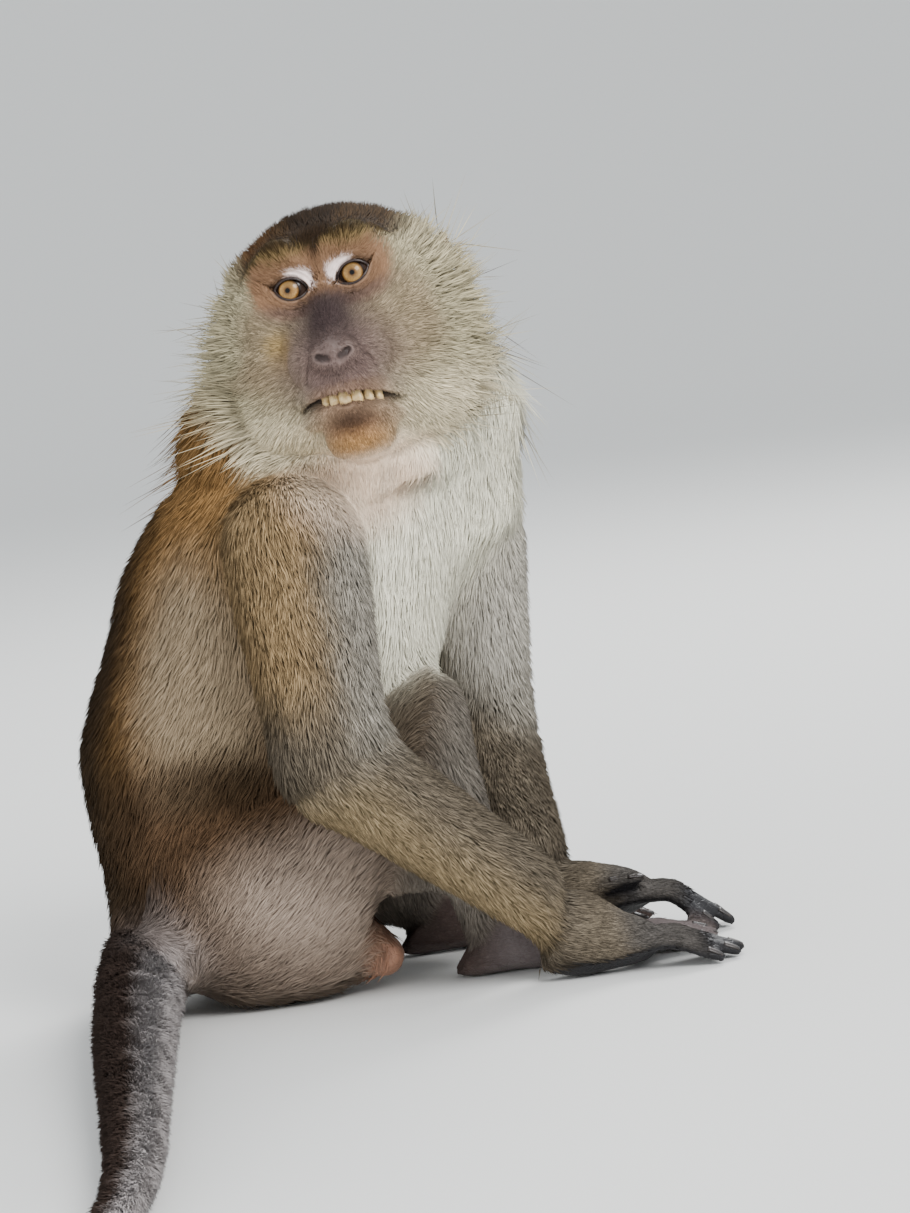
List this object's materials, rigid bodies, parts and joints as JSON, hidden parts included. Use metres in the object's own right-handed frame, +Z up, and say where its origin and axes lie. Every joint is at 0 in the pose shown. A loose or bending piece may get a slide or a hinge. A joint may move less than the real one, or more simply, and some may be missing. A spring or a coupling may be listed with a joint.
{
  "type": "long-tailed macaque",
  "caption": "Adult male long-tailed macaque, still and life-size, sitting upright with its hands by its feet, head turned to its right, mouth a little open and tail along the ground.",
  "frame": {"origin": "on the floor, under the middle of the bounding box", "axes": "+X the way the hips and feet point, +Y the animal's left, +Z up; the tail runs along the floor towards -Y, and the head looks towards -Y"},
  "size_m": [0.3312, 0.6916, 0.3937],
  "materials": {
    "coat_back": "short golden brown fur with dark bases",
    "coat_front": "thin creamy white fur of the chest, neck and belly",
    "coat_limbs": "short grey-olive fur ticked with yellow",
    "coat_tail": "short dark brown fur, grey below",
    "head": "fur of the crown and whiskers round a bare grey-brown face",
    "bare_skin": "bare dark skin of the hands and feet",
    "ears": "thin bare skin",
    "eyes": "wet, amber iris with a small dark pupil"
  },
  "bodies": {
    "root": {"trunk": "coat_back", "neck": "coat_front", "head": "head", "ear_right": "ears", "ear_left": "ears", "eye_right": "eyes", "eye_left": "eyes", "upper_arm_right": "coat_limbs", "upper_arm_left": "coat_limbs", "forearm_right": "coat_limbs", "forearm_left": "coat_limbs", "hand_right": "bare_skin", "hand_left": "bare_skin", "thigh_right": "coat_back", "thigh_left": "coat_back", "shin_right": "coat_limbs", "shin_left": "coat_limbs", "foot_right": "bare_skin", "foot_left": "bare_skin", "tail_base": "coat_tail", "tail_middle": "coat_tail", "tail_tip": "coat_tail"}
  },
  "joints": []
}
